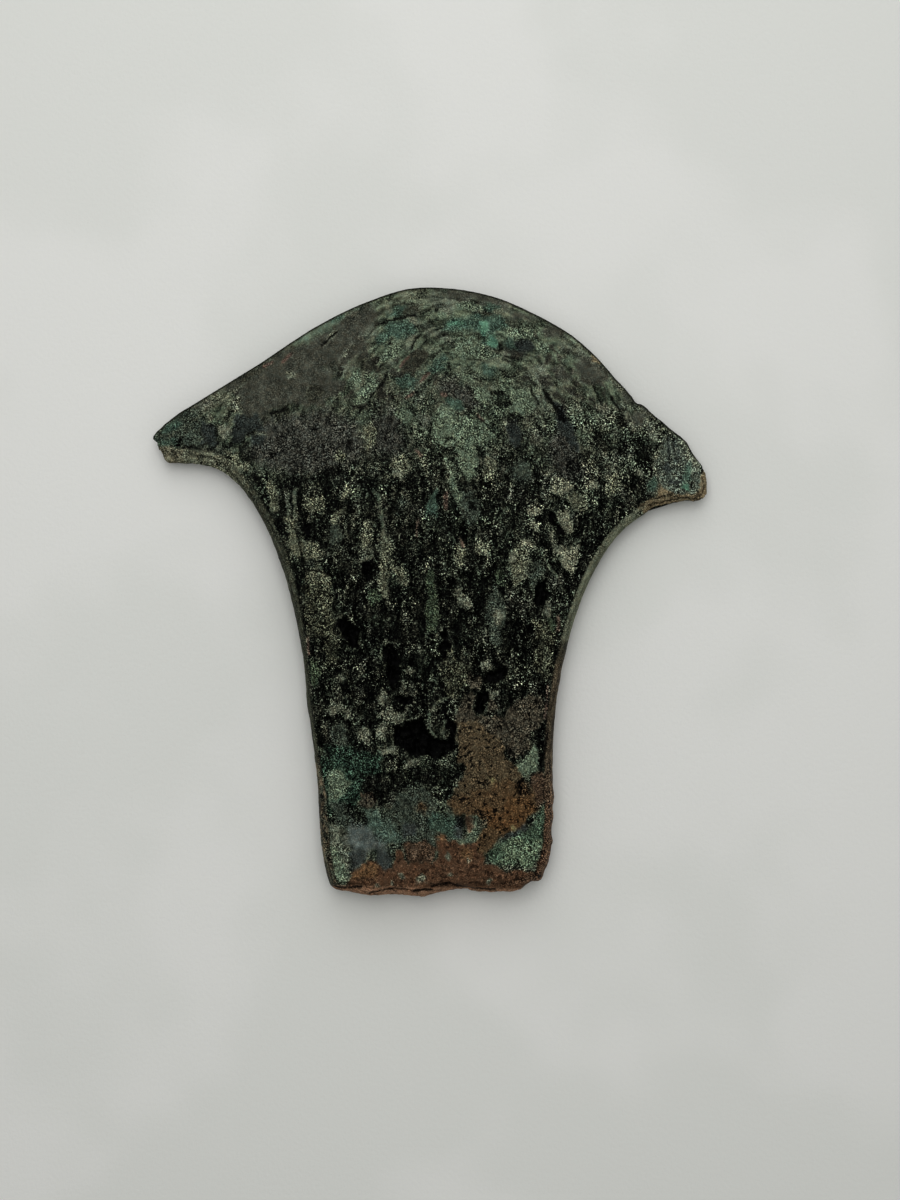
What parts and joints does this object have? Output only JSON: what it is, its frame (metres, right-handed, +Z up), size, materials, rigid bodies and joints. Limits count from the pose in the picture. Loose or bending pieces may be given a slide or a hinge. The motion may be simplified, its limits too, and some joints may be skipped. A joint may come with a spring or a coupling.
{
  "type": "copper axe head",
  "caption": "Flat ancient copper axe head: thick tapering body, rough butt and a broad curved blade that flares into two horns.",
  "frame": {"origin": "centre of the head in plan, on the surface that it lies on", "axes": "+Y from the butt to the cutting edge, +Z up from the surface that the head lies on, +X to the right horn"},
  "size_m": [0.1108, 0.1216, 0.0104],
  "materials": {
    "patinated_copper": "old copper with a dark green to black patina, grey-green crust, teal patches and bare brown copper near the butt"
  },
  "bodies": {
    "root": {"axe_head": "patinated_copper"}
  },
  "joints": []
}
